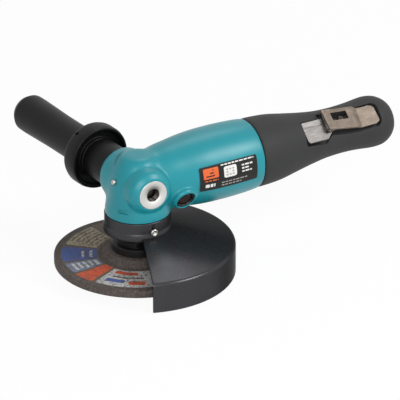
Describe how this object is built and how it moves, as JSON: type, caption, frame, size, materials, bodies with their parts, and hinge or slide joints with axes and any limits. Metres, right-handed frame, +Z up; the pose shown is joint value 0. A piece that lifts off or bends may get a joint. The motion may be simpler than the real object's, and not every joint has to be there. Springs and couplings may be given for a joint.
{
  "type": "pneumatic angle grinder",
  "caption": "Air-powered right-angle grinder: vane motor and bevel gears in a teal housing, depressed-centre wheel under a half guard, side handle, rubber rear grip with throttle lever.",
  "frame": {"origin": "centre of the spindle's lower end face", "axes": "+Z up the spindle axis, +X along the motor axis to the air inlet, +Y to the fitted side handle"},
  "size_m": [0.2822, 0.2251, 0.1007],
  "materials": {
    "teal": "satin",
    "rubber": "matte",
    "guard_paint": "satin",
    "steel": "machined",
    "dark_steel": "black oxide",
    "nickel": "brushed",
    "aluminium": "machined",
    "abrasive": "coarse grit",
    "brass": "machined",
    "phenolic": "matte",
    "felt": "felt"
  },
  "bodies": {
    "housing": {"motor_housing": "teal", "bearing_cap": "dark_steel", "handle_insert_near": "aluminium", "handle_insert_far": "aluminium", "side_handle_collar": "rubber", "side_handle_grip": "rubber", "side_handle_stud": "steel", "grease_fitting": "steel", "lower_bearing_outer": "steel", "upper_bearing_outer": "steel", "front_bearing_outer": "steel", "rear_bearing_outer": "steel", "front_end_plate": "steel", "rear_end_plate": "steel", "cylinder_liner": "steel", "handle_core": "aluminium", "grip_sleeve": "rubber", "inlet_bushing": "steel", "inlet_screen": "brass", "exhaust_silencer": "felt", "lever_pin": "steel", "valve_cap": "brass", "valve_spring": "steel", "lock_button_ring": "dark_steel", "lock_button_spring": "steel"},
    "spindle": {"spindle": "steel", "bevel_gear": "dark_steel", "lower_bearing_inner": "steel", "upper_bearing_inner": "steel", "wheel_flange": "dark_steel", "grinding_wheel": "abrasive", "flange_nut": "dark_steel"},
    "rotor": {"rotor": "dark_steel", "vane_1": "phenolic", "vane_2": "phenolic", "vane_3": "phenolic", "vane_4": "phenolic", "vane_5": "phenolic", "bevel_pinion": "dark_steel", "front_bearing_inner": "steel", "rear_bearing_inner": "steel"},
    "guard": {"wheel_guard": "guard_paint", "guard_clamp_screw": "steel"},
    "throttle": {"throttle_lever": "nickel", "lockoff_pin": "steel", "lockoff_spring": "steel"},
    "lockoff": {"lockoff_lever": "steel"},
    "valve": {"valve_stem": "brass"},
    "spindle_lock_button": {"lock_button": "rubber"}
  },
  "joints": [
    {"name": "spindle_spin", "type": "hinge", "parent": "housing", "child": "spindle", "pos_m": [0, 0, 0], "axis": [0, 0, 1], "continuous": true},
    {"name": "rotor_spin", "type": "hinge", "parent": "housing", "child": "rotor", "pos_m": [0, 0, 0.065], "axis": [1, 0, 0], "continuous": true},
    {"name": "guard_turn", "type": "hinge", "parent": "housing", "child": "guard", "pos_m": [0, 0, 0.036], "axis": [0, 0, 1], "range_deg": [-90, 90]},
    {"name": "throttle_press", "type": "hinge", "parent": "housing", "child": "throttle", "pos_m": [0.198, -0.00911, 0.07666], "axis": [0, -0.788, -0.6157], "range_deg": [0, 5.5], "stiffness_Nm_per_rad": 0.6, "springref_deg": -8.59},
    {"name": "lockoff_fold", "type": "hinge", "parent": "throttle", "child": "lockoff", "pos_m": [0.1564, -0.01274, 0.08131], "axis": [0, 0.788, 0.6157], "range_deg": [0, 35], "stiffness_Nm_per_rad": 0.05, "springref_deg": -17.19},
    {"name": "valve_slide", "type": "slide", "parent": "housing", "child": "valve", "axis": [0, 0.6157, -0.788], "range_m": [0, 0.00269], "deforming": ["valve_spring"]},
    {"name": "spindle_lock", "type": "slide", "parent": "housing", "child": "spindle_lock_button", "axis": [0, 0.9063, 0.4226], "range_m": [0, 0.003], "stiffness_N_per_m": 800, "springref_m": -0.002, "deforming": ["lock_button_spring"]}
  ],
  "couplings": [
    {"joint": "rotor_spin", "follows": "spindle_spin", "ratio": 2},
    {"joint": "valve_slide", "follows": "throttle_press", "m_per_rad": 0.028}
  ]
}
